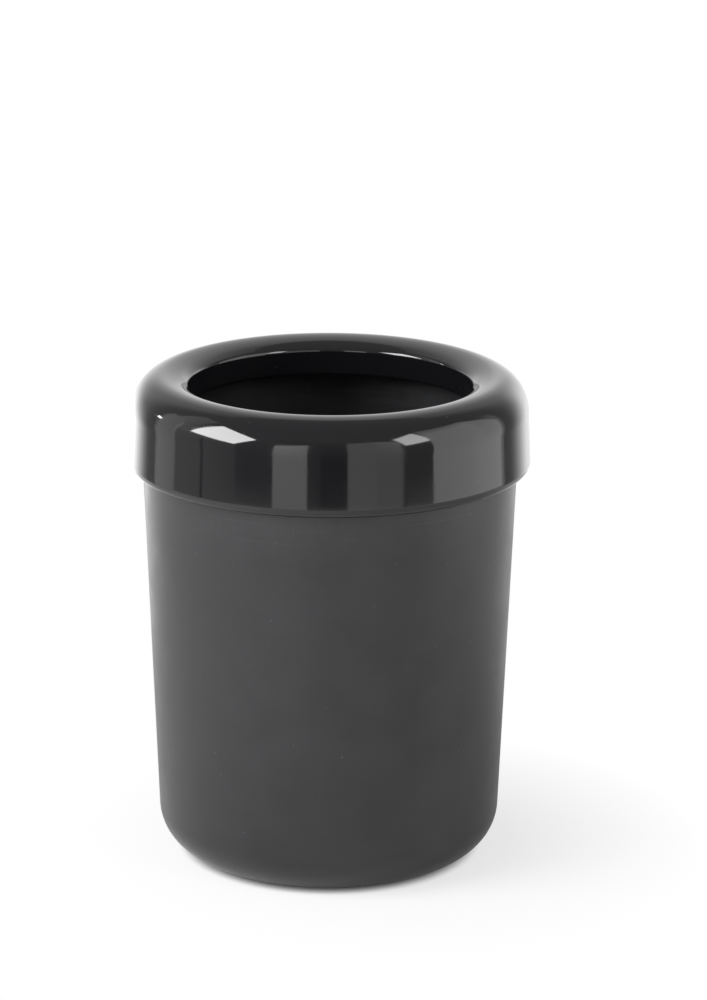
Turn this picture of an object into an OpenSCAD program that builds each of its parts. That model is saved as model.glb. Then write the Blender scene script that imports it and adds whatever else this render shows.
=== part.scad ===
// Tabletop cutlery holder in two moulded pieces: a tapered container and a loose ring lid
// that drops over its rim and narrows its mouth.
// Millimetres. The holder stands on z = 0 and the Z axis is its axis of revolution.

/* [Container] */
// Outer diameter at the rim
rim_d = 122.8; // [114:0.2:134]
// Outer diameter that the tapered wall would have at the table
base_d = 111; // [100:0.5:114]
// Height from the table to the rim
container_h = 149; // [100:1:220]
// Thickness of the side wall
wall = 2.8; // [2.4:0.1:4]
// Thickness of the floor above the recess
floor_t = 3; // [2:0.1:5]
// Radius of the rounded heel between the wall and the foot
heel_r = 15; // [8:0.5:22]
// Width of the flat foot that stands on the table
foot_w = 4.5; // [3:0.5:8]
// Depth of the recess inside the foot
recess_h = 1.2; // [0.6:0.1:2]
// Radius of the two rounded corners of the rim
rim_round = 1.1; // [0.5:0.1:1.1]

/* [Ring lid] */
// Clear diameter of the mouth
mouth_d = 91; // [84:0.5:98]
// Height of the ring from the lower edge of its skirt to its crest
ring_h = 30; // [22:0.5:45]
// Height of the crest above the rim that the ring sits on
crest_rise = 11; // [9:0.5:18]
// Thickness of the ring's wall
ring_wall = 2.5; // [2.2:0.1:3]
// How much the skirt widens on its way down, measured on the radius
skirt_flare = 0.7; // [0:0.1:2]
// Width of the rounded lower edge of the skirt, measured in from its outer side
edge_w = 2; // [1:0.1:2]
// Height of the rounded lower edge of the skirt
edge_h = 2.8; // [1:0.1:5]
// Width from the crest line in to the mouth
roll_w = 8.8; // [7:0.1:11]
// Radius of the arc that rolls in from the crest
roll_r = 13; // [12:0.5:20]
// Radius of the lip where the roll turns down into the mouth
lip_r = 2; // [1:0.1:3]
// Length of the collar that hangs below the lip
collar_h = 8; // [4:0.5:14]

/* [Seat of the ring] */
// Clearance between the rim and the inside of the skirt, measured on the radius
skirt_gap = 0.4; // [0.3:0.1:1]
// Distance from the rim down to the line where the shoulder meets the skirt
spring_drop = 1; // [0.5:0.1:2]
// Number of ribs under the ring
rib_count = 8; // [4:1:12]
// Thickness of each rib
rib_t = 1.6; // [1.2:0.1:2.4]
// Length of each rib's nose, which hangs inside the rim and centres the ring
nose_h = 4; // [2:0.5:7]
// Width of each nose
nose_w = 5; // [3:0.5:6]
// Clearance between the noses and the inside of the rim, measured on the radius
nose_gap = 0.4; // [0.3:0.1:1]
// Size of the chamfer at the tip of each nose
nose_lead = 1; // [0.5:0.1:1.5]

/* [Hidden] */
$fn = 128;

// Chords in a quarter circle of the large and of the small roundings
LARGE_STEPS = 18;
SMALL_STEPS = 6;

CONTAINER_BLACK = "#2b2b2d";
RING_BLACK = "#141416";

// Overall height of the holder, and the height of the lower edge of its skirt
overall_h = container_h + crest_rise;
skirt_z = overall_h - ring_h;

// Container: slope of the wall, and the outer and inner radius of the wall at a height
rim_r = rim_d / 2;
draft = atan((rim_r - base_d / 2) / container_h);
function wall_outer(z) = base_d / 2 + z * tan(draft);
function wall_inner(z) = wall_outer(z) - wall / cos(draft);

// Container: centres of the heel's outer and inner rounding, and height of the inner floor
heel_x = wall_outer(heel_r) - heel_r / cos(draft);
floor_z = recess_h + floor_t;
inner_heel_r = heel_r - wall;
inner_heel_z = floor_z + inner_heel_r;
inner_heel_x = wall_inner(inner_heel_z) - inner_heel_r / cos(draft);

// Ring: radius of the mouth and of the crest line, centre line of the shoulder's spring
mouth_r = mouth_d / 2;
crest_r = mouth_r + roll_w;
spring_r = rim_r + skirt_gap + ring_wall;
spring_z = container_h - spring_drop;
shoulder_w = spring_r - crest_r;
shoulder_h = overall_h - spring_z;

// Ring: widest radius, slope of the skirt, and the turn where its lower edge takes up that slope
ring_r = spring_r + skirt_flare;
skirt_slope = skirt_flare / (spring_z - skirt_z - edge_h);
edge_turn = atan(skirt_slope * edge_h / edge_w);

// Ring: the turn that the roll makes before the lip, and the height where the lip is upright
roll_turn = asin((roll_w - lip_r) / (roll_r - lip_r));
lip_z = overall_h - roll_r + (roll_r - lip_r) * cos(roll_turn);
collar_z = lip_z - collar_h;

// Ribs: outer radius of the noses, which stay clear of the container's tapered inside
nose_r = wall_inner(container_h - nose_h) - nose_gap;

// Points along an oval, given by its centre and half axes, and along an arc of a circle
function oval(x, z, w, h, from, to, steps) =
    [for (i = [0:steps]) let (a = from + (to - from) * i / steps) [x + w * cos(a), z + h * sin(a)]];
function arc(x, z, r, from, to, steps) = oval(x, z, r, r, from, to, steps);

// Points along the shoulder's quarter ellipse, from the spring line up to the crest, with the
// surface taken in by a depth
function shoulder(depth) =
    oval(crest_r, spring_z, shoulder_w - depth, shoulder_h - depth, 0, 90, LARGE_STEPS);

// Points along the roll, from the crest in towards the mouth, with the surface taken in by a depth
function roll(depth, turn) =
    arc(crest_r, overall_h - roll_r, roll_r - depth, 90, 90 + turn, SMALL_STEPS);

// Turn at which the roll, taken in by a depth, meets the collar's wall taken in by the same depth
function turn_over(depth) = asin((roll_w - depth) / (roll_r - depth));

// A list of points without its first, for a path that carries on from the one before
function tail(points) = [for (i = [1:len(points) - 1]) points[i]];
function reverse(points) = [for (i = [len(points) - 1:-1:0]) points[i]];

// Half section of the container, from the middle of its underside out, up and down inside
module container_section() {
    polygon(concat(
        [[0, recess_h],
         [heel_x - foot_w - recess_h, recess_h],
         [heel_x - foot_w, 0]],
        arc(heel_x, heel_r, heel_r, -90, -draft, LARGE_STEPS),
        arc(wall_outer(container_h - rim_round) - rim_round, container_h - rim_round,
            rim_round, -draft, 90, SMALL_STEPS),
        arc(wall_inner(container_h - rim_round) + rim_round, container_h - rim_round,
            rim_round, 90, 180 - draft, SMALL_STEPS),
        arc(inner_heel_x, inner_heel_z, inner_heel_r, -draft, -90, LARGE_STEPS),
        [[0, floor_z]]
    ));
}

// Half section of the ring's shell: over the outside from the skirt to the collar, back inside
module ring_section() {
    polygon(concat(
        [[ring_r - ring_wall, skirt_z]],
        oval(ring_r - edge_w, skirt_z + edge_h, edge_w, edge_h, -90, edge_turn, SMALL_STEPS),
        shoulder(0),
        tail(roll(0, roll_turn)),
        tail(arc(mouth_r + lip_r, lip_z, lip_r, 90 + roll_turn, 180, SMALL_STEPS)),
        arc(mouth_r + ring_wall / 2, collar_z + ring_wall / 2, ring_wall / 2, 180, 360, SMALL_STEPS),
        reverse(roll(ring_wall, turn_over(ring_wall))),
        tail(reverse(shoulder(ring_wall)))
    ));
}

// Outline of a rib: its top lies along the middle of the ring's wall, and its lower edge steps
// from the collar to the nose, up to the seat on the rim, and out to the skirt
module rib_outline() {
    middle = ring_wall / 2;
    polygon(concat(
        [[mouth_r + middle, collar_z + ring_wall],
         [nose_r - nose_w, collar_z + ring_wall],
         [nose_r - nose_w, container_h - nose_h],
         [nose_r - nose_lead, container_h - nose_h],
         [nose_r, container_h - nose_h + nose_lead],
         [nose_r, container_h],
         [spring_r - middle, container_h]],
        [for (p = shoulder(middle)) if (p[1] > container_h) p],
        tail(roll(middle, turn_over(middle)))
    ));
}

module rib() {
    rotate([90, 0, 0])
    linear_extrude(rib_t, center = true)
    rib_outline();
}

module container() {
    color(CONTAINER_BLACK)
    rotate_extrude()
    container_section();
}

module ring_lid() {
    color(RING_BLACK) {
        rotate_extrude()
        ring_section();
        for (i = [0:rib_count - 1])
            rotate([0, 0, (i + 0.5) * 360 / rib_count])
            rib();
    }
}

container();
ring_lid();
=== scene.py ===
# Tabletop cutlery holder: a tapered container and a loose ring lid, dressed over the CAD model.
# Lengths are in metres, angles in degrees. The holder stands on z = 0 and Z is its axis.
# Azimuth is measured round Z, 0 towards the camera and 90 towards +X.
import math

import bpy
import numpy as np
from bpy.props import (
    FloatProperty,
    FloatVectorProperty,
    IntProperty,
    PointerProperty,
    StringProperty,
)
from bpy.types import Operator, Panel, PropertyGroup
from mathutils import Matrix, Vector


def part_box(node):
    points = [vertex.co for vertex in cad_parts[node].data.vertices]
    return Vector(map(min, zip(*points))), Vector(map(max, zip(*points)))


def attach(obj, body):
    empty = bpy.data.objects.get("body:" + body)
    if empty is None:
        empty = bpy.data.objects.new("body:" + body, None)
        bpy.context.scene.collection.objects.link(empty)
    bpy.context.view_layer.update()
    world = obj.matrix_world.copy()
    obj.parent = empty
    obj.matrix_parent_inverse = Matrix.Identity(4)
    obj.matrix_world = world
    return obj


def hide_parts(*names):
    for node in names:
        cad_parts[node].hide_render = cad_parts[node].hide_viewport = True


bl_info = {
    "name": "Tabletop cutlery holder",
    "version": (1, 0, 0),
    "blender": (4, 5, 0),
    "location": "3D View > Sidebar > Holder",
    "description": "Builds a two-piece cutlery holder, its materials and its studio",
    "category": "Add Mesh",
}

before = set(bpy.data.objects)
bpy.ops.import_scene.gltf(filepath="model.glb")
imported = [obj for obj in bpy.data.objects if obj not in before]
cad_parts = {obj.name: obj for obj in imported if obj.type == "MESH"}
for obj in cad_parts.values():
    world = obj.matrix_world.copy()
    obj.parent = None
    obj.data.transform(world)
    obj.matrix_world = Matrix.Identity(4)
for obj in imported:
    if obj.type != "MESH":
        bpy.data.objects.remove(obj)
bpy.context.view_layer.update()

MM = 0.001

# Outer sizes, read from the frame
CONTAINER_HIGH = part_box("container")[1]
RING_LOW, RING_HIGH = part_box("ring_lid")
RIM_RADIUS = CONTAINER_HIGH[0]
RIM_Z = CONTAINER_HIGH[2]
RING_RADIUS = RING_HIGH[0]
SKIRT_Z = RING_LOW[2]
CREST_Z = RING_HIGH[2]

# Faces round the axis, and faces along each curve of the container, the ring and the ribs
TURN_STEPS = 384
HEEL_STEPS = 44
INNER_HEEL_STEPS = 36
RIM_STEPS = 12
CORNER_STEPS = 4
EDGE_STEPS = 24
SHOULDER_STEPS = 52
INNER_SHOULDER_STEPS = 28
ROLL_STEPS = 24
INNER_ROLL_STEPS = 16
LIP_STEPS = 20
COLLAR_END_STEPS = 8
RIB_SHOULDER_STEPS = 20
RIB_ROLL_STEPS = 12

# Longest face along the straight parts of the container and of the ring
CONTAINER_SPACING = 4 * MM
RING_SPACING = 1 * MM

# Dish and gate mark under the floor: depth of the dish, width of its sloping side, radius and
# height of the mark, and width of the mark's side
DISH_DEPTH = 0.35 * MM
DISH_SLOPE = 0.5 * MM
GATE_RADIUS = 1.2 * MM
GATE_HEIGHT = 0.3 * MM
GATE_SLOPE = 0.1 * MM

# Roundings of the underside's corners from the middle outwards, of the inner corner of the skirt's
# lower edge, and of the edges of the ribs
UNDERSIDE_ROUNDINGS = [0, 0.12 * MM, 0.12 * MM, 0.5 * MM, 0.5 * MM, 0.6 * MM, 0.5 * MM, 0]
SKIRT_CORNER = 0.35 * MM
RIB_BEVEL = 0.25 * MM

# Points closer than this are the same point
SAME_POINT = 1e-7

# Half the side of the table
TABLE_REACH = 6.0

# Softboxes: name, centre, the point it faces, width, height, turn about that line, and power in
# watts
SOFTBOXES = (
    ("key_softbox", (-0.604, -0.331, 0.447), (0.017, -0.543, -0.138), 0.511, 0.322, 3.84, 7.6),
    ("fill_softbox", (0.606, -0.559, 0.576), (-0.418, -0.766, 0.234), 0.367, 0.340, -6.12, 2.7),
)

# Cards round the front of the holder: name, first and last azimuth, height of the lower edge,
# height of the upper edge at both ends, the brightness of the lower and of the upper edge at both
# ends, and the brightness of the foot where the table lights it, or None
CARDS = (
    ("left_canopy", (-106.0, -86.5), 0.45, (0.75, 0.75), (1.12, 0.85), (0.85, 0.8), None),
    ("left_pale_card", (-110.3, -95.0), 0.0, (0.45, 0.45), (1.18, 1.18), (1.15, 1.15), None),
    ("left_streak", (-95.0, -93.6), 0.0, (0.38, 0.38), (1.0, 1.0), (1.9, 1.9), None),
    ("left_grey_card", (-93.6, -74.2), 0.0, (0.26, 0.25), (0.58, 0.62), (0.64, 0.68), None),
    ("left_grey_top", (-93.6, -86.5), 0.26, (0.45, 0.45), (0.95, 0.8), (1.0, 0.7), None),
    ("left_seam", (-74.2, -72.4), 0.0, (0.25, 0.245), (0.2, 0.2), (0.2, 0.2), None),
    ("left_dark_card", (-72.4, -52.0), 0.0, (0.245, 0.24), (0.58, 0.45), (0.6, 0.5), 0.65),
    ("left_flag", (-52.0, -43.5), 0.0, (0.25, 0.40), (0.26, 0.2), (0.32, 0.34), 0.7),
    ("left_flag_end", (-43.5, -30.5), 0.0, (0.50, 0.50), (0.2, 0.24), (0.4, 0.4), 0.7),
    ("window_strip", (-30.5, -12.0), 0.0, (0.335, 0.40), (1.6, 1.6), (2.75, 2.3), None),
    ("strip_hood", (-30.5, -12.0), 0.40, (0.52, 0.52), (0.3, 0.26), (0.35, 0.35), None),
    ("strip_shade", (-12.0, -5.0), 0.0, (0.52, 0.52), (0.28, 0.18), (0.34, 0.3), 0.7),
    ("front_gap", (-5.0, 9.2), 0.0, (0.50, 0.50), (0.09, 0.09), (0.3, 0.3), 0.65),
    ("front_card", (9.2, 25.0), 0.0, (0.46, 0.475), (1.12, 1.06), (1.17, 1.17), 1.3),
    ("front_card_end", (25.0, 38.5), 0.0, (0.475, 0.42), (0.96, 0.93), (1.3, 1.65), 1.15),
    ("front_card_edge", (38.5, 41.0), 0.0, (0.36, 0.30), (0.85, 0.2), (1.1, 0.25), None),
    ("right_flag", (41.0, 56.9), 0.0, (0.27, 0.30), (0.27, 0.28), (0.36, 0.38), 0.75),
    ("right_reflector", (56.9, 92.0), 0.0, (0.50, 0.50), (2.2, 2.2), (2.2, 2.15), None),
    ("right_reflector_end", (92.0, 108.8), 0.0, (0.60, 0.29), (2.2, 1.9), (1.7, 1.8), None),
    ("right_reflector_top", (56.9, 92.0), 0.50, (0.68, 0.60), (2.1, 2.0), (1.0, 1.4), None),
)

# A small bright lamp at the left that only the gloss shows, laid out as the cards are
LAMP = ("left_lamp", (-111.2, -107.6), 0.2195, (0.2395, 0.2375), (18.0, 18.0), (18.0, 18.0), None)

# Distance of the cards, the small lamp and the backdrop from the axis, height at which they start
# above the table, and the faces of a card along each side
CARD_RADIUS = 0.55
LAMP_RADIUS = 0.38
BACKDROP_RADIUS = 0.40
CARD_LIFT = 0.002
CARD_FACES = 32

# Height on a card up to which the table lights its foot, and the length over which that fades in
FOOT_TOP = 0.044
FOOT_FADE = 0.018

# The table's paper: middle of its faint shadow, place round which reflections see it as it is lit,
# and place where the backdrop's left pool of light spills over it
SHADOW_CENTRE = (20 * MM, 0.0, 0.0)
LIT_CENTRE = (0.0, -0.1, 0.0)
SPILL_CENTRE = (-0.15, 0.42, 0.0)


# Settings that a user would change
class ContainerSettings(PropertyGroup):
    """Sizes of the container that its outer box doesn't give"""

    base_diameter: FloatProperty(
        name="Base diameter",
        description="Outer diameter that the tapered wall would have at the table",
        default=111 * MM,
        unit="LENGTH",
    )
    wall: FloatProperty(
        name="Wall", description="Thickness of the side wall", default=2.8 * MM, unit="LENGTH"
    )
    floor: FloatProperty(
        name="Floor",
        description="Thickness of the floor above the recess",
        default=3 * MM,
        unit="LENGTH",
    )
    heel: FloatProperty(
        name="Heel radius",
        description="Radius of the rounded heel between the wall and the foot",
        default=15 * MM,
        unit="LENGTH",
    )
    foot: FloatProperty(
        name="Foot width",
        description="Width of the flat foot that stands on the table",
        default=4.5 * MM,
        unit="LENGTH",
    )
    recess: FloatProperty(
        name="Recess depth",
        description="Depth of the recess inside the foot",
        default=1.2 * MM,
        unit="LENGTH",
    )
    rim_round: FloatProperty(
        name="Rim rounding",
        description="Radius of the two rounded corners of the rim",
        default=1.1 * MM,
        unit="LENGTH",
    )
    gate: FloatProperty(
        name="Gate dish",
        description="Diameter of the shallow dish round the gate mark under the floor",
        default=12 * MM,
        unit="LENGTH",
    )


class RingSettings(PropertyGroup):
    """Sizes of the ring lid that its outer box doesn't give"""

    mouth_diameter: FloatProperty(
        name="Mouth diameter",
        description="Clear diameter of the mouth",
        default=91 * MM,
        unit="LENGTH",
    )
    wall: FloatProperty(
        name="Wall", description="Thickness of the ring's wall", default=2.5 * MM, unit="LENGTH"
    )
    flare: FloatProperty(
        name="Skirt flare",
        description="How much the skirt widens on its way down, measured on the radius",
        default=0.7 * MM,
        unit="LENGTH",
    )
    edge_width: FloatProperty(
        name="Edge width",
        description="Width of the rounded lower edge of the skirt, measured in from its outer side",
        default=2 * MM,
        unit="LENGTH",
    )
    edge_height: FloatProperty(
        name="Edge height",
        description="Height of the rounded lower edge of the skirt",
        default=2.8 * MM,
        unit="LENGTH",
    )
    spring_drop: FloatProperty(
        name="Spring drop",
        description="Distance from the container's rim down to where the shoulder meets the skirt",
        default=1 * MM,
        unit="LENGTH",
    )
    roll_width: FloatProperty(
        name="Roll width",
        description="Width from the crest line in to the mouth",
        default=8.8 * MM,
        unit="LENGTH",
    )
    roll: FloatProperty(
        name="Roll radius",
        description="Radius of the arc that rolls in from the crest",
        default=13 * MM,
        unit="LENGTH",
    )
    lip: FloatProperty(
        name="Lip radius",
        description="Radius of the lip where the roll turns down into the mouth",
        default=2 * MM,
        unit="LENGTH",
    )
    collar: FloatProperty(
        name="Collar length",
        description="Length of the collar that hangs below the lip",
        default=8 * MM,
        unit="LENGTH",
    )
    rib: FloatProperty(
        name="Rib thickness", description="Thickness of each rib", default=1.6 * MM, unit="LENGTH"
    )
    nose_length: FloatProperty(
        name="Nose length",
        description="Length of each rib's nose, which hangs inside the rim",
        default=4 * MM,
        unit="LENGTH",
    )
    nose_width: FloatProperty(
        name="Nose width", description="Width of each nose", default=5 * MM, unit="LENGTH"
    )
    nose_gap: FloatProperty(
        name="Nose gap",
        description="Clearance between the noses and the inside of the rim, measured on the radius",
        default=0.4 * MM,
        unit="LENGTH",
    )
    nose_lead: FloatProperty(
        name="Nose chamfer",
        description="Size of the chamfer at the tip of each nose",
        default=1 * MM,
        unit="LENGTH",
    )
    rib_count: IntProperty(
        name="Ribs", description="Number of ribs under the ring", default=8, min=3
    )


class FinishSettings(PropertyGroup):
    """Colours and gloss of the two plastics, as sRGB hex values"""

    container_colour: StringProperty(
        name="Container colour",
        description="sRGB hex colour of the satin plastic",
        default="#1f1f21",
    )
    container_roughness: FloatProperty(
        name="Container roughness",
        description="Mean roughness of the textured outside",
        default=0.38,
        min=0.0,
        max=1.0,
        subtype="FACTOR",
    )
    ring_colour: StringProperty(
        name="Ring colour", description="sRGB hex colour of the glossy plastic", default="#101012"
    )
    ring_roughness: FloatProperty(
        name="Ring roughness",
        description="Roughness of the polished outside",
        default=0.055,
        min=0.0,
        max=1.0,
        subtype="FACTOR",
    )


class StageSettings(PropertyGroup):
    """Camera and table of the studio"""

    lens: FloatProperty(
        name="Lens", description="Focal length on a 36 mm sensor, in millimetres", default=131.5
    )
    camera: FloatVectorProperty(
        name="Camera place",
        description="Where the camera stands",
        default=(0.0, -1.14, 0.4485),
        unit="LENGTH",
    )
    pitch: FloatProperty(
        name="Pitch", description="Angle by which the camera looks down, in degrees", default=16.19
    )
    yaw: FloatProperty(
        name="Yaw",
        description="Angle by which the camera looks to the right of the axis, in degrees",
        default=0.385,
    )
    roll: FloatProperty(
        name="Roll",
        description="Angle by which the picture is turned clockwise, in degrees",
        default=0.33,
    )
    floor_colour: StringProperty(
        name="Floor colour", description="sRGB hex colour of the table's paper", default="#f0f0f0"
    )


# Meshes from arrays
def arc(x, z, radius, start, end, steps, tall=None):
    """Points on a circle about (x, z), or on an ellipse that is radius wide and tall high: the
    centre plus the half axes times the cosine and sine of an angle that goes evenly from start to
    end."""
    a = np.radians(np.linspace(start, end, steps + 1))
    return np.column_stack((x + radius * np.cos(a), z + (tall or radius) * np.sin(a)))


def straight(start, end, spacing):
    """Points strictly between two points, evenly spaced and no further apart than spacing."""
    start, end = np.array(start), np.array(end)
    count = max(1, math.ceil(np.linalg.norm(end - start) / spacing))
    t = np.arange(1, count)[:, None] / count
    return start + (end - start) * t


def rounded(corners, radii):
    """An outline through corners, with each corner that has a radius replaced by a curve. The
    curve is the parabola through the two points a radius away from the corner, with the corner as
    its control point."""
    out = []
    for i in range(len(corners)):
        here = np.array(corners[i])
        if not radii[i]:
            out.append(here[None])
            continue
        before = np.array(corners[i - 1]) - here
        after = np.array(corners[(i + 1) % len(corners)]) - here
        first = here + before * radii[i] / np.linalg.norm(before)
        last = here + after * radii[i] / np.linalg.norm(after)
        t = np.linspace(0, 1, CORNER_STEPS + 1)[:, None]
        out.append((1 - t) ** 2 * first + 2 * t * (1 - t) * here + t**2 * last)
    return np.vstack(out)


def joined(*parts):
    """One path from several, without points that repeat the one before."""
    path = np.vstack(parts)
    keep = np.r_[True, np.linalg.norm(np.diff(path, axis=0), axis=1) > SAME_POINT]
    return path[keep]


def new_mesh(name, points, faces, **attributes):
    """A smooth mesh object from points and faces, with a value for each point in every
    attribute."""
    mesh = bpy.data.meshes.new(name)
    mesh.from_pydata(points.tolist(), [], faces)
    for key, values in attributes.items():
        attribute = mesh.attributes.new(key, "FLOAT", "POINT")
        attribute.data.foreach_set("value", values.astype(np.float32))
    mesh.shade_smooth()
    mesh.validate()
    piece = bpy.data.objects.new(name, mesh)
    bpy.context.scene.collection.objects.link(piece)
    return piece


def turned_grid(path, steps):
    """A path of (radius, z) carried round Z: the point at angle a is (radius cos a, radius sin a,
    z). Returns the points with one row for each path point, and one column for each angle."""
    a = np.arange(steps) * 2 * np.pi / steps
    x = path[:, :1] * np.cos(a)
    y = path[:, :1] * np.sin(a)
    z = np.repeat(path[:, 1:], steps, axis=1)
    return np.stack((x, y, z), axis=-1)


def grid_faces(rows, columns, closed_rows):
    """Quads of a grid whose columns close into a circle, and whose rows do so too if
    closed_rows."""
    r = np.arange(rows if closed_rows else rows - 1)[:, None] * columns
    c = np.arange(columns)[None, :]
    r1 = (r + columns) % (rows * columns)
    c1 = (c + 1) % columns
    return np.stack((r + c, r + c1, r1 + c1, r1 + c), axis=-1).reshape(-1, 4)


def solid_of_revolution(name, outside, inside):
    """A closed surface of revolution. The path of its outside and then its inside runs
    anticlockwise in the (radius, z) half plane. If it starts and ends on the axis, each end closes
    in a single pole, and otherwise it is a loop. The attribute inner_side is 0 on the outside and
    1 inside."""
    path = joined(outside, inside)
    finish = np.r_[np.zeros(len(outside)), np.ones(len(path) - len(outside))]
    if path[0][0] < SAME_POINT:
        body = path[1:-1]
        grid = turned_grid(body, TURN_STEPS).reshape(-1, 3)
        points = np.vstack((grid, [[0, 0, path[0][1]], [0, 0, path[-1][1]]]))
        faces = grid_faces(len(body), TURN_STEPS, False).tolist()
        c = np.arange(TURN_STEPS)
        c1 = (c + 1) % TURN_STEPS
        last = (len(body) - 1) * TURN_STEPS
        low_pole, high_pole = len(grid), len(grid) + 1
        faces += np.column_stack((np.full_like(c, low_pole), c1, c)).tolist()
        faces += np.column_stack((np.full_like(c, high_pole), last + c, last + c1)).tolist()
        values = np.r_[np.repeat(finish[1:-1], TURN_STEPS), finish[0], finish[-1]]
    else:
        points = turned_grid(path, TURN_STEPS).reshape(-1, 3)
        faces = grid_faces(len(path), TURN_STEPS, True).tolist()
        values = np.repeat(finish, TURN_STEPS)
    return new_mesh(name, points, faces, inner_side=values)


def plates_round_axis(name, outline, thickness, count):
    """Flat plates that stand round Z. The outline (radius, z) is carried across the thickness t:
    the point at angle a is (r cos a - t sin a, r sin a + t cos a, z), with a from half a step
    onwards."""
    n = len(outline)
    a = (np.arange(count) + 0.5)[:, None, None] * 2 * np.pi / count
    t = np.array([-thickness / 2, thickness / 2])[:, None]
    r, z = outline[:, 0], outline[:, 1]
    x = r * np.cos(a) - t * np.sin(a)
    y = r * np.sin(a) + t * np.cos(a)
    points = np.stack((x, y, np.broadcast_to(z, x.shape)), axis=-1).reshape(-1, 3)
    i = np.arange(n)
    edge = np.stack((i, i + n, (i + 1) % n + n, (i + 1) % n), axis=-1)
    faces = []
    for first in range(0, 2 * n * count, 2 * n):
        faces += (edge + first).tolist()
        faces += [(i + first).tolist(), (i[::-1] + first + n).tolist()]
    return new_mesh(name, points, faces, inner_side=np.ones(len(points)))


# Shapes of the two pieces
class ContainerShape:
    """Lines and centres of the container's section, worked out from its sizes"""

    def __init__(self, sizes):
        self.sizes = sizes
        self.base = sizes.base_diameter / 2
        self.draft = math.degrees(math.atan((RIM_RADIUS - self.base) / RIM_Z))
        self.slope = math.tan(math.radians(self.draft))
        self.tilt = math.cos(math.radians(self.draft))
        self.top_z = RIM_Z - sizes.rim_round

    def outer(self, z):
        """Radius of the outside of the wall at a height."""
        return self.base + z * self.slope

    def inner(self, z):
        """Radius of the inside of the wall at a height."""
        return self.outer(z) - self.sizes.wall / self.tilt

    def outside(self):
        """From the middle of the underside out to the foot, and up the wall to the rim. Inside the
        foot a short slope leads up to a flat recess, and in its middle is a shallow dish with the
        small raised mark of the gate."""
        s = self.sizes
        heel_x = self.outer(s.heel) - s.heel / self.tilt
        foot_x = heel_x - s.foot
        dish = s.gate / 2
        dish_z = s.recess + DISH_DEPTH
        corners = [
            (0, dish_z - GATE_HEIGHT),
            (GATE_RADIUS, dish_z - GATE_HEIGHT),
            (GATE_RADIUS + GATE_SLOPE, dish_z),
            (dish - DISH_SLOPE, dish_z),
            (dish, s.recess),
            (foot_x - s.recess, s.recess),
            (foot_x, 0),
            (heel_x, 0),
        ]
        underside = rounded(corners, UNDERSIDE_ROUNDINGS)
        heel = arc(heel_x, s.heel, s.heel, -90, -self.draft, HEEL_STEPS)
        rim_x = self.outer(self.top_z) - s.rim_round
        rim = arc(rim_x, self.top_z, s.rim_round, -self.draft, 90, RIM_STEPS)
        wall = straight(heel[-1], rim[0], CONTAINER_SPACING)
        return joined(underside, heel, wall, rim)

    def inside(self):
        """From the rim down the inside of the wall, round the inner heel and in over the floor."""
        s = self.sizes
        rim_x = self.inner(self.top_z) + s.rim_round
        rim = arc(rim_x, self.top_z, s.rim_round, 90, 180 - self.draft, RIM_STEPS)
        floor_z = s.recess + s.floor
        heel_r = s.heel - s.wall
        heel_z = floor_z + heel_r
        heel_x = self.inner(heel_z) - heel_r / self.tilt
        heel = arc(heel_x, heel_z, heel_r, -self.draft, -90, INNER_HEEL_STEPS)
        wall = straight(rim[-1], heel[0], CONTAINER_SPACING)
        middle = (0, floor_z)
        floor = straight(heel[-1], middle, CONTAINER_SPACING)
        return joined(rim, wall, heel, floor, [middle])


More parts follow.
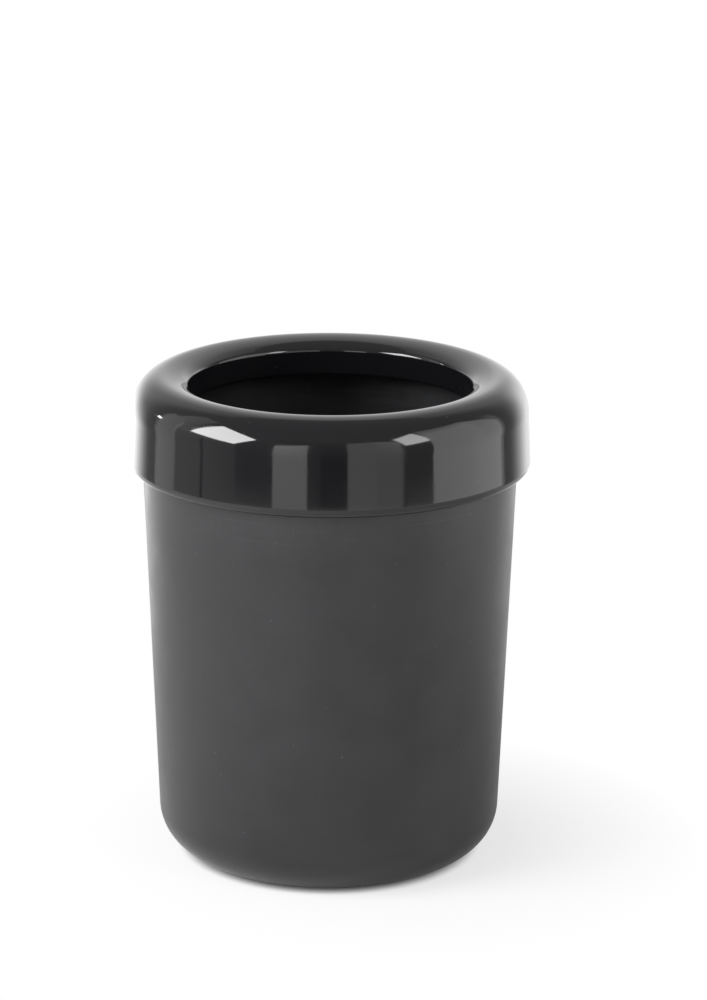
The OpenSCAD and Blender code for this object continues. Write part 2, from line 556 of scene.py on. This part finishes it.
class RingShape:
    """Lines and centres of the ring's section, worked out from its sizes and the container's"""

    def __init__(self, sizes, container):
        self.sizes = sizes
        self.mouth = sizes.mouth_diameter / 2
        self.crest = self.mouth + sizes.roll_width
        self.spring_x = RING_RADIUS - sizes.flare
        self.spring_z = RIM_Z - sizes.spring_drop
        self.wide = self.spring_x - self.crest
        self.tall = CREST_Z - self.spring_z
        # Turn of the roll before the lip, and height of the lip's centre
        reach = sizes.roll - sizes.lip
        self.turn = math.degrees(math.asin((sizes.roll_width - sizes.lip) / reach))
        self.lip_z = CREST_Z - sizes.roll + reach * math.cos(math.radians(self.turn))
        self.collar_z = self.lip_z - sizes.collar
        self.nose = container.inner(RIM_Z - sizes.nose_length) - sizes.nose_gap
        # The skirt's slope, and the turns where the edge's and the shoulder's ellipse take it up
        slope = sizes.flare / (self.spring_z - SKIRT_Z - sizes.edge_height)
        self.edge_turn = math.degrees(math.atan(slope * sizes.edge_height / sizes.edge_width))
        self.shoulder_turn = math.degrees(math.atan(slope * self.tall / self.wide))

    def shoulder(self, depth, start, end, steps):
        """The quarter ellipse between the skirt and the crest, taken in by a depth."""
        wide, tall = self.wide - depth, self.tall - depth
        return arc(self.crest, self.spring_z, wide, start, end, steps, tall)

    def roll(self, depth, start, end, steps):
        """The arc that rolls in from the crest, taken in by a depth, between two angles past the
        top."""
        s = self.sizes
        return arc(self.crest, CREST_Z - s.roll, s.roll - depth, 90 + start, 90 + end, steps)

    def turn_over(self, depth):
        """Angle at which the roll, taken in by a depth, meets the collar taken in by the same
        depth."""
        s = self.sizes
        return math.degrees(math.asin((s.roll_width - depth) / (s.roll - depth)))

    def collar_end(self, start, end):
        """A part of the half circle that closes the collar's lower end."""
        radius = self.sizes.wall / 2
        x, z = self.mouth + radius, self.collar_z + radius
        return arc(x, z, radius, start, end, COLLAR_END_STEPS)

    def outside(self):
        """From the skirt's lower edge up its outside, over the crest and down into the mouth."""
        s = self.sizes
        edge_x, edge_z = RING_RADIUS - s.edge_width, SKIRT_Z + s.edge_height
        edge = arc(
            edge_x, edge_z, s.edge_width, -90, self.edge_turn, EDGE_STEPS, tall=s.edge_height
        )
        shoulder = self.shoulder(0, self.shoulder_turn, 90, SHOULDER_STEPS)
        skirt = straight(edge[-1], shoulder[0], RING_SPACING)
        roll = self.roll(0, 0, self.turn, ROLL_STEPS)
        lip = arc(self.mouth + s.lip, self.lip_z, s.lip, 90 + self.turn, 180, LIP_STEPS)
        end = self.collar_end(180, 270)
        collar = straight(lip[-1], end[0], RING_SPACING)
        return joined(edge, skirt, shoulder, roll, lip, collar, end)

    def inside(self):
        """From the collar's end up behind it, over under the crest and down inside the skirt."""
        s = self.sizes
        end = self.collar_end(270, 360)
        roll = self.roll(s.wall, self.turn_over(s.wall), 0, INNER_ROLL_STEPS)
        collar = straight(end[-1], roll[0], RING_SPACING)
        shoulder = self.shoulder(s.wall, 90, 0, INNER_SHOULDER_STEPS)
        corners = [
            shoulder[-1],
            (RING_RADIUS - s.wall, SKIRT_Z),
            (RING_RADIUS - s.edge_width, SKIRT_Z),
        ]
        foot = rounded(corners, [0, SKIRT_CORNER, 0])[1:-1]
        skirt = straight(shoulder[-1], foot[0], RING_SPACING)
        return joined(end, collar, roll, shoulder, skirt, foot)

    def rib_outline(self):
        """Outline of a rib as (radius, z). Its top lies along the middle of the ring's wall, and
        its lower edge steps from the collar to the nose, up to the seat on the rim, and out to the
        skirt."""
        s = self.sizes
        middle = s.wall / 2
        nose_in = self.nose - s.nose_width
        nose_z = RIM_Z - s.nose_length
        low_z = self.collar_z + s.wall
        seat = math.degrees(math.asin((RIM_Z - self.spring_z) / (self.tall - middle)))
        seat_x = self.crest + (self.wide - middle) * math.cos(math.radians(seat))
        low = [
            (self.mouth + middle, low_z),
            (nose_in, low_z),
            (nose_in, nose_z),
            (self.nose - s.nose_lead, nose_z),
            (self.nose, nose_z + s.nose_lead),
            (self.nose, RIM_Z),
            (seat_x, RIM_Z),
        ]
        shoulder = self.shoulder(middle, seat, 90, RIB_SHOULDER_STEPS)[1:]
        roll = self.roll(middle, 0, self.turn_over(middle), RIB_ROLL_STEPS)
        return joined(low, shoulder, roll)


# Materials
def linear(hex_colour):
    """An sRGB hex value as linear red, green, blue and full alpha."""
    value = np.array([int(hex_colour[i : i + 2], 16) for i in (1, 3, 5)]) / 255
    value = np.where(value <= 0.04045, value / 12.92, ((value + 0.055) / 1.055) ** 2.4)
    return (*value.tolist(), 1.0)


def add_node(tree, kind, values=(), links=(), **settings):
    """A node of a kind with its settings, its socket values and the sockets that feed it."""
    node = tree.nodes.new(kind)
    for key, value in settings.items():
        setattr(node, key, value)
    for socket, value in dict(values).items():
        node.inputs[socket].default_value = value
    for socket, source in dict(links).items():
        tree.links.new(source, node.inputs[socket])
    return node


def new_material(name):
    """An empty node material and its tree."""
    material = bpy.data.materials.new(name)
    material.use_nodes = True
    material.node_tree.nodes.clear()
    return material, material.node_tree


def container_plastic(finish):
    """Injection-moulded ABS from a spark-eroded tool: a satin black that scatters the lamps into
    one broad sheen, with faint cloudy patches of gloss, fine rubs, a paler band below the ring that
    is painted light lifting the shade under the skirt, a film of dust that shows as a light edge
    where the wall turns away, and a few bright specks."""
    material, tree = new_material("moulded_abs_satin_black")
    place = add_node(tree, "ShaderNodeTexCoord").outputs["Object"]
    inner = add_node(tree, "ShaderNodeAttribute", attribute_name="inner_side").outputs["Fac"]
    # Cloudy patches about 15 mm across, where the plastic cooled against the tool
    clouds = add_node(
        tree,
        "ShaderNodeTexNoise",
        {"Scale": 1 / (15 * MM), "Detail": 4.0, "Roughness": 0.6},
        {"Vector": place},
    ).outputs["Fac"]
    # Rubs from lifting the ring off: streaks 0.5 mm wide, 45 mm long up the wall or 40 mm round it
    fine, tall, wide = 1 / (0.5 * MM), 1 / (45 * MM), 1 / (40 * MM)
    upright = add_node(
        tree, "ShaderNodeMapping", {"Scale": (fine, fine, tall)}, {"Vector": place}
    ).outputs["Vector"]
    around = add_node(
        tree, "ShaderNodeMapping", {"Scale": (wide, wide, fine)}, {"Vector": place}
    ).outputs["Vector"]
    rubs = []
    for vector, least in ((upright, 0.69), (around, 0.67)):
        streaks = add_node(
            tree, "ShaderNodeTexNoise", {"Scale": 1.0, "Detail": 1.0}, {"Vector": vector}
        ).outputs["Fac"]
        rubs.append(
            add_node(
                tree,
                "ShaderNodeMapRange",
                {"From Min": least, "From Max": least + 0.06},
                {"Value": streaks},
            ).outputs["Result"]
        )
    either = add_node(
        tree, "ShaderNodeMath", links={0: rubs[0], 1: rubs[1]}, operation="MAXIMUM"
    ).outputs["Value"]
    # The rubs are strong in the 16 mm below the ring and faint further down, and the painted light
    # below the ring follows the same band
    height = add_node(tree, "ShaderNodeSeparateXYZ", links={"Vector": place}).outputs["Z"]
    near_rim = add_node(
        tree,
        "ShaderNodeMapRange",
        {"From Min": SKIRT_Z - 16 * MM, "From Max": SKIRT_Z, "To Min": 0.12, "To Max": 1.0},
        {"Value": height},
    ).outputs["Result"]
    rub = add_node(
        tree, "ShaderNodeMath", links={0: either, 1: near_rim}, operation="MULTIPLY"
    ).outputs["Value"]
    # Painted light: the plastic below the ring is made paler, in clouds, to lift the shade under
    # the skirt, and the rubs add to it
    rubs_and_painted_light = add_node(
        tree,
        "ShaderNodeMath",
        links={0: clouds, 1: near_rim, 2: rub},
        operation="MULTIPLY_ADD",
    ).outputs["Value"]
    # Grain of the spark-eroded tool. The real one is 0.05 mm, and 0.3 mm is the finest that shows
    grain = add_node(
        tree,
        "ShaderNodeTexNoise",
        {"Scale": 1 / (0.3 * MM), "Detail": 2.0, "Roughness": 0.7},
        {"Vector": place},
    ).outputs["Fac"]
    # Specks of dust about 2 cm apart and up to 0.28 mm wide: the radius is 0.028 of a 5 mm cell
    cells = add_node(
        tree, "ShaderNodeTexVoronoi", {"Scale": 1 / (5 * MM)}, {"Vector": place}, feature="F1"
    ).outputs["Distance"]
    speck = add_node(
        tree, "ShaderNodeMapRange", {"From Min": 0.028, "From Max": 0.018}, {"Value": cells}
    ).outputs["Result"]
    # The clouds change the gloss a little, the rubs polish it, and the inside is smoother
    mean = finish.container_roughness
    rough = add_node(
        tree,
        "ShaderNodeMapRange",
        {"From Min": 0.3, "From Max": 0.7, "To Min": mean - 0.045, "To Max": mean + 0.045},
        {"Value": clouds},
    ).outputs["Result"]
    rubbed = add_node(
        tree, "ShaderNodeMath", {1: -0.09}, {0: rub, 2: rough}, operation="MULTIPLY_ADD"
    ).outputs["Value"]
    sided = add_node(
        tree, "ShaderNodeMix", {"B": 0.30}, {"Factor": inner, "A": rubbed}, data_type="FLOAT"
    ).outputs["Result"]
    tone = add_node(tree, "ShaderNodeValToRGB", links={"Fac": clouds})
    for stop, position, level in zip(tone.color_ramp.elements, (0.3, 0.7), (0.8, 1.2)):
        stop.position = position
        stop.color = [level * c for c in linear(finish.container_colour)[:3]] + [1.0]
    # Base colour goes paler towards #323234 with the painted light below the ring and with the rubs
    worn_and_painted_light = add_node(
        tree,
        "ShaderNodeMix",
        {"B": linear("#323234")},
        {"Factor": rubs_and_painted_light, "A": tone.outputs["Color"]},
        data_type="RGBA",
    ).outputs["Result"]
    dusty = add_node(
        tree,
        "ShaderNodeMix",
        {"B": linear("#8c8c8a")},
        {"Factor": speck, "A": worn_and_painted_light},
        data_type="RGBA",
    ).outputs["Result"]
    bump = add_node(
        tree, "ShaderNodeBump", {"Strength": 0.22, "Distance": 0.02 * MM}, {"Height": grain}
    ).outputs["Normal"]
    shader = add_node(
        tree,
        "ShaderNodeBsdfPrincipled",
        {"IOR": 1.5, "Metallic": 0.0, "Sheen Weight": 0.15, "Sheen Roughness": 0.35},
        {"Base Color": dusty, "Roughness": sided, "Normal": bump},
    ).outputs["BSDF"]
    add_node(tree, "ShaderNodeOutputMaterial", links={"Surface": shader})
    return material


def ring_plastic(finish):
    """Injection-moulded ABS from a polished tool: a deep gloss black whose sharp reflections are
    dulled a little by wiping marks and carry a few specks of dust, and a satin inner side."""
    material, tree = new_material("moulded_abs_gloss_black")
    place = add_node(tree, "ShaderNodeTexCoord").outputs["Object"]
    inner = add_node(tree, "ShaderNodeAttribute", attribute_name="inner_side").outputs["Fac"]
    # Wiping marks: soft patches 25 mm long and 6 mm high, stretched round the ring
    long, high = 1 / (25 * MM), 1 / (6 * MM)
    wiped = add_node(
        tree, "ShaderNodeMapping", {"Scale": (long, long, high)}, {"Vector": place}
    ).outputs["Vector"]
    wipes = add_node(
        tree,
        "ShaderNodeTexNoise",
        {"Scale": 1.0, "Detail": 4.0, "Roughness": 0.65},
        {"Vector": wiped},
    ).outputs["Fac"]
    mean = finish.ring_roughness
    rough = add_node(
        tree,
        "ShaderNodeMapRange",
        {"From Min": 0.4, "From Max": 0.75, "To Min": mean, "To Max": mean + 0.05},
        {"Value": wipes},
    ).outputs["Result"]
    sided = add_node(
        tree, "ShaderNodeMix", {"B": 0.34}, {"Factor": inner, "A": rough}, data_type="FLOAT"
    ).outputs["Result"]
    # Specks of dust about 2 cm apart and up to 0.27 mm wide: the radius is 0.03 of a 4.5 mm cell
    cells = add_node(
        tree, "ShaderNodeTexVoronoi", {"Scale": 1 / (4.5 * MM)}, {"Vector": place}, feature="F1"
    ).outputs["Distance"]
    speck = add_node(
        tree, "ShaderNodeMapRange", {"From Min": 0.03, "From Max": 0.018}, {"Value": cells}
    ).outputs["Result"]
    dusty = add_node(
        tree,
        "ShaderNodeMix",
        {"A": linear(finish.ring_colour), "B": linear("#9a9a98")},
        {"Factor": speck},
        data_type="RGBA",
    ).outputs["Result"]
    # The very shallow waves, about 22 mm long, that shrinking leaves in a thick moulding
    waves = add_node(
        tree, "ShaderNodeTexNoise", {"Scale": 1 / (22 * MM), "Detail": 1.0}, {"Vector": place}
    ).outputs["Fac"]
    bump = add_node(
        tree, "ShaderNodeBump", {"Strength": 1.0, "Distance": 0.012 * MM}, {"Height": waves}
    ).outputs["Normal"]
    shader = add_node(
        tree,
        "ShaderNodeBsdfPrincipled",
        {"IOR": 1.52, "Metallic": 0.0},
        {"Base Color": dusty, "Roughness": sided, "Normal": bump},
    ).outputs["BSDF"]
    add_node(tree, "ShaderNodeOutputMaterial", links={"Surface": shader})
    return material


def table_paper(stage):
    """Matt white paper. What the camera sees of it is mostly plain white, which keeps a faint
    shadow near the holder, most of it on the side away from the key softbox, and a dark line of
    painted shade where the two meet. Reflections see it brighter the further it is from the holder."""
    material, tree = new_material("table_paper_matt_white")
    place = add_node(tree, "ShaderNodeTexCoord").outputs["Object"]
    from_shadow = add_node(
        tree, "ShaderNodeVectorMath", {1: SHADOW_CENTRE}, {0: place}, operation="DISTANCE"
    ).outputs["Value"]
    whiteness = add_node(
        tree,
        "ShaderNodeMapRange",
        {"From Min": 40 * MM, "From Max": 105 * MM, "To Min": 0.7, "To Max": 1.0},
        {"Value": from_shadow},
    ).outputs["Result"]
    # Painted shade: the white is dimmed where the holder hems the paper in within 6 mm, which draws
    # the dark line at the foot
    corner = add_node(
        tree, "ShaderNodeAmbientOcclusion", {"Distance": 6 * MM}, samples=16
    ).outputs["AO"]
    open_part = add_node(
        tree, "ShaderNodeMapRange", {"From Min": 0.03, "From Max": 0.33}, {"Value": corner}
    ).outputs["Result"]
    paper = add_node(
        tree, "ShaderNodeBsdfDiffuse", {"Color": linear(stage.floor_colour)}
    ).outputs["BSDF"]
    # Reflections see the paper as it is lit near the holder and in front of it, brighter further
    # out, and brightest where the backdrop's left pool of light spills over it
    away = add_node(
        tree, "ShaderNodeVectorMath", {1: LIT_CENTRE}, {0: place}, operation="DISTANCE"
    ).outputs["Value"]
    reflected = add_node(
        tree,
        "ShaderNodeMapRange",
        {"From Min": 0.2, "From Max": 0.4, "To Max": 0.8},
        {"Value": away},
    ).outputs["Result"]
    from_spill = add_node(
        tree, "ShaderNodeVectorMath", {1: SPILL_CENTRE}, {0: place}, operation="DISTANCE"
    ).outputs["Value"]
    bright = add_node(
        tree,
        "ShaderNodeMapRange",
        {"From Min": 0.32, "From Max": 0.08, "To Min": 0.1, "To Max": 1.6},
        {"Value": from_spill},
    ).outputs["Result"]
    path = add_node(tree, "ShaderNodeLightPath").outputs
    seen = add_node(
        tree,
        "ShaderNodeMath",
        links={0: path["Is Camera Ray"], 1: path["Is Transmission Ray"]},
        operation="MAXIMUM",
    ).outputs["Value"]
    direct = add_node(
        tree, "ShaderNodeMath", links={0: seen, 1: whiteness}, operation="MULTIPLY"
    ).outputs["Value"]
    share = add_node(
        tree,
        "ShaderNodeMath",
        links={0: path["Is Glossy Ray"], 1: reflected, 2: direct},
        operation="MULTIPLY_ADD",
    ).outputs["Value"]
    level = add_node(
        tree,
        "ShaderNodeMath",
        {2: 1.0},
        {0: path["Is Glossy Ray"], 1: bright},
        operation="MULTIPLY_ADD",
    ).outputs["Value"]
    strength = add_node(
        tree, "ShaderNodeMath", links={0: level, 1: open_part}, operation="MULTIPLY"
    ).outputs["Value"]
    white = add_node(
        tree, "ShaderNodeEmission", links={"Strength": strength}
    ).outputs["Emission"]
    both = add_node(
        tree, "ShaderNodeMixShader", links={0: share, 1: paper, 2: white}
    ).outputs["Shader"]
    add_node(tree, "ShaderNodeOutputMaterial", links={"Surface": both})
    return material


def card_glow():
    """A studio card: it shows its own brightness, which is kept in the mesh."""
    material, tree = new_material("studio_card")
    brightness = add_node(
        tree, "ShaderNodeAttribute", attribute_name="brightness"
    ).outputs["Fac"]
    glow = add_node(
        tree, "ShaderNodeEmission", links={"Strength": brightness}
    ).outputs["Emission"]
    add_node(tree, "ShaderNodeOutputMaterial", links={"Surface": glow})
    return material


def studio_world():
    """The room: white wherever the camera looks, nearly white at table height and darker overhead
    in what the gloss reflects, and a dim even level for the light that it gives."""
    world = bpy.data.worlds.new("studio")
    world.use_nodes = True
    tree = world.node_tree
    tree.nodes.clear()
    direction = add_node(tree, "ShaderNodeTexCoord").outputs["Generated"]
    height = add_node(tree, "ShaderNodeSeparateXYZ", links={"Vector": direction}).outputs["Z"]
    room = add_node(
        tree,
        "ShaderNodeMapRange",
        {"From Min": 0.40, "From Max": 0.56, "To Min": 0.8, "To Max": 0.384},
        {"Value": height},
    ).outputs["Result"]
    path = add_node(tree, "ShaderNodeLightPath").outputs
    lit = add_node(
        tree,
        "ShaderNodeMix",
        {"A": 1.0, "B": 0.36},
        {"Factor": path["Is Diffuse Ray"]},
        data_type="FLOAT",
    ).outputs["Result"]
    strength = add_node(
        tree,
        "ShaderNodeMix",
        links={"Factor": path["Is Glossy Ray"], "A": lit, "B": room},
        data_type="FLOAT",
    ).outputs["Result"]
    light = add_node(
        tree, "ShaderNodeBackground", {"Color": linear("#ffffff")}, {"Strength": strength}
    ).outputs["Background"]
    add_node(tree, "ShaderNodeOutputWorld", links={"Surface": light})
    return world


# Operators
def dress(piece, material, node, body):
    """Gives a piece its material, hides the CAD node that it stands in for, and ties it to the
    body.
    """
    piece.data.materials.append(material)
    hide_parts(node)
    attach(piece, body)


class HOLDER_OT_container(Operator):
    """Builds the tapered container as one surface of revolution"""

    bl_idname = "holder.container"
    bl_label = "Container"

    def execute(self, context):
        shape = ContainerShape(context.scene.holder_container)
        piece = solid_of_revolution("container_shell", shape.outside(), shape.inside())
        material = container_plastic(context.scene.holder_finish)
        dress(piece, material, "container", "container")
        return {"FINISHED"}


class HOLDER_OT_ring_lid(Operator):
    """Builds the ring lid: its shell, and the ribs that seat it on the container's rim"""

    bl_idname = "holder.ring_lid"
    bl_label = "Ring lid"

    def execute(self, context):
        scene = context.scene
        sizes = scene.holder_ring
        shape = RingShape(sizes, ContainerShape(scene.holder_container))
        material = ring_plastic(scene.holder_finish)
        shell = solid_of_revolution("ring_shell", shape.outside(), shape.inside())
        dress(shell, material, "ring_lid", "ring_lid")
        ribs = plates_round_axis("ring_ribs", shape.rib_outline(), sizes.rib, sizes.rib_count)
        bevel = ribs.modifiers.new("rounded_edges", "BEVEL")
        bevel.width, bevel.segments = RIB_BEVEL, 2
        bevel.limit_method, bevel.angle_limit = "ANGLE", math.radians(30)
        bevel.harden_normals = True
        dress(ribs, material, "ring_lid", "ring_lid")
        return {"FINISHED"}


def softbox(name, centre, aim, width, height, roll, energy):
    """A rectangular lamp that faces a point, turned about that line by an angle in degrees, and
    unseen by the camera itself."""
    lamp = bpy.data.lights.new(name, "AREA")
    lamp.shape = "RECTANGLE"
    lamp.size, lamp.size_y, lamp.energy = width, height, energy
    place = bpy.data.objects.new(name, lamp)
    turn = (Vector(centre) - Vector(aim)).to_track_quat("Z", "Y")
    roll_turn = Matrix.Rotation(math.radians(roll), 4, "Z")
    place.matrix_world = Matrix.Translation(centre) @ turn.to_matrix().to_4x4() @ roll_turn
    place.visible_camera = False
    bpy.context.scene.collection.objects.link(place)


def smooth(t):
    """A step from 0 to 1 with soft ends: 3 t squared minus 2 t cubed, with t kept from 0 to 1."""
    t = np.clip(t, 0, 1)
    return t * t * (3 - 2 * t)


def rise(value, start, width):
    """The soft step upwards: 0 up to start, and 1 from a width past it."""
    return smooth((value - start) / width)


def fall(value, end, width):
    """The soft step downwards: 1 until a width before end, and 0 from end on."""
    return smooth((end - value) / width)


def curved_card(name, radius, azimuth, height, brightness, material):
    """A card that stands round the holder, from arrays of one shape: the point at azimuth a and
    height z is (R sin a, -R cos a, z). Only reflections see it."""
    a = np.radians(azimuth)
    points = np.stack((radius * np.sin(a), -radius * np.cos(a), height), axis=-1).reshape(-1, 3)
    rows, columns = azimuth.shape
    r, c = np.arange(rows - 1)[:, None], np.arange(columns - 1)[None, :]
    first = r * columns + c
    quads = np.stack((first, first + 1, first + columns + 1, first + columns), axis=-1)
    faces = quads.reshape(-1, 4).tolist()
    card = new_mesh(name, points, faces, brightness=brightness.ravel())
    card.data.materials.append(material)
    for ray in ("camera", "diffuse", "transmission", "volume_scatter", "shadow"):
        setattr(card, "visible_" + ray, False)


def studio_card(radius, material, name, azimuths, bottom, tops, low, high, foot):
    """A card between two azimuths. Its upper edge goes evenly from one end to the other, and so
    does the brightness of each edge. Between the edges it changes evenly with the height, in rows
    that lie closer together near the lower edge. Where the table lights the foot, the lowest part
    goes over to the foot's brightness."""
    t = np.linspace(0, 1, CARD_FACES + 1)
    across, up = np.meshgrid(t, t**2)
    azimuth = azimuths[0] + (azimuths[1] - azimuths[0]) * across
    lowest = max(bottom, CARD_LIFT)
    height = lowest + (tops[0] + (tops[1] - tops[0]) * across - lowest) * up
    lower = low[0] + (low[1] - low[0]) * across
    upper = high[0] + (high[1] - high[0]) * across
    brightness = lower + (upper - lower) * up
    if foot is not None:
        brightness += (foot - brightness) * fall(height, FOOT_TOP, FOOT_FADE)
    curved_card(name, radius, azimuth, height, brightness, material)


def backdrop(material):
    """The white cloth behind the holder, from the right-hand cards round to the left-hand ones.
    Its brightness rises softly from the dim edges to an even middle. Low on the cloth is a faint
    band of light, and on each side a pool of light that fades towards the middle, the edge, the
    table and upwards."""
    azimuth, height = np.meshgrid(np.linspace(109.3, 249.7, 121), np.linspace(CARD_LIFT, 0.83, 61))
    # Angle from the middle of the cloth, which is straight behind the holder
    side = np.abs(180 - azimuth)
    is_left = azimuth > 180
    left_pool = 2.2 * rise(side, 18, 20) * fall(side, 63, 20) * fall(height, 0.24, 0.18)
    left_pool *= 0.8 + 0.2 * rise(height, 0, 0.1)
    right_top = 0.38 + (37 - side) / 300
    right_pool = 1.25 * rise(side, 18, 24) * fall(side, 65, 22) * fall(height, right_top, 0.2)
    right_pool *= 0.7 + 0.3 * rise(height, 0, 0.12)
    band = 0.52 * rise(side, 2, 8) * fall(side, 50, 16)
    band *= np.where(is_left, fall(height, 0.305, 0.12), fall(height, 0.37, 0.2))
    band *= np.where(is_left, 1.0, 0.75 + 0.25 * rise(height, 0, 0.12))
    even = 0.42 + 0.33 * fall(side, 34, 24) - 0.12 * rise(height, 0.5, 0.3)
    even *= fall(side, 66, 26)
    brightness = 0.37 + even + band + np.where(is_left, left_pool, right_pool)
    curved_card("backdrop_cloth", BACKDROP_RADIUS, azimuth, height, brightness, material)


class HOLDER_OT_stage(Operator):
    """Builds the studio: table, background, lamps, cards that the gloss reflects, and the camera"""

    bl_idname = "holder.stage"
    bl_label = "Stage"

    def execute(self, context):
        scene = context.scene
        stage = scene.holder_stage
        corners = np.array([(-1, -1, 0), (1, -1, 0), (1, 1, 0), (-1, 1, 0)]) * TABLE_REACH
        table = new_mesh("table", corners, [(0, 1, 2, 3)])
        table.data.materials.append(table_paper(stage))
        scene.world = studio_world()
        for lamp in SOFTBOXES:
            softbox(*lamp)
        glow = card_glow()
        studio_card(LAMP_RADIUS, glow, *LAMP)
        for card in CARDS:
            studio_card(CARD_RADIUS, glow, *card)
        backdrop(glow)
        camera = bpy.data.cameras.new("camera")
        camera.lens = stage.lens
        eye = bpy.data.objects.new("camera", camera)
        turn = (
            Matrix.Rotation(math.radians(-stage.yaw), 4, "Z")
            @ Matrix.Rotation(math.radians(90 - stage.pitch), 4, "X")
            @ Matrix.Rotation(math.radians(stage.roll), 4, "Z")
        )
        eye.matrix_world = Matrix.Translation(stage.camera) @ turn
        scene.collection.objects.link(eye)
        scene.camera = eye
        scene.view_settings.view_transform = "Standard"
        return {"FINISHED"}


class HOLDER_PT_sidebar(Panel):
    """Lists the pieces, the stage and their settings"""

    bl_label = "Cutlery holder"
    bl_idname = "HOLDER_PT_sidebar"
    bl_space_type = "VIEW_3D"
    bl_region_type = "UI"
    bl_category = "Holder"

    def draw(self, context):
        groups = (
            (HOLDER_OT_container, "holder_container"),
            (HOLDER_OT_ring_lid, "holder_ring"),
            (None, "holder_finish"),
            (HOLDER_OT_stage, "holder_stage"),
        )
        for operator, name in groups:
            box = self.layout.box()
            if operator:
                box.operator(operator.bl_idname)
            settings = getattr(context.scene, name)
            for key in settings.bl_rna.properties.keys():
                if key not in ("name", "rna_type"):
                    box.prop(settings, key)


SETTINGS = {
    "holder_container": ContainerSettings,
    "holder_ring": RingSettings,
    "holder_finish": FinishSettings,
    "holder_stage": StageSettings,
}
CLASSES = (
    *SETTINGS.values(),
    HOLDER_OT_container,
    HOLDER_OT_ring_lid,
    HOLDER_OT_stage,
    HOLDER_PT_sidebar,
)


def register():
    for each in CLASSES:
        bpy.utils.register_class(each)
    for name, group in SETTINGS.items():
        setattr(bpy.types.Scene, name, PointerProperty(type=group))


def unregister():
    for name in SETTINGS:
        delattr(bpy.types.Scene, name)
    for each in reversed(CLASSES):
        bpy.utils.unregister_class(each)


def main():
    register()
    bpy.ops.holder.container()
    bpy.ops.holder.ring_lid()
    bpy.ops.holder.stage()
    bpy.context.view_layer.update()


if __name__ == "__main__":
    main()
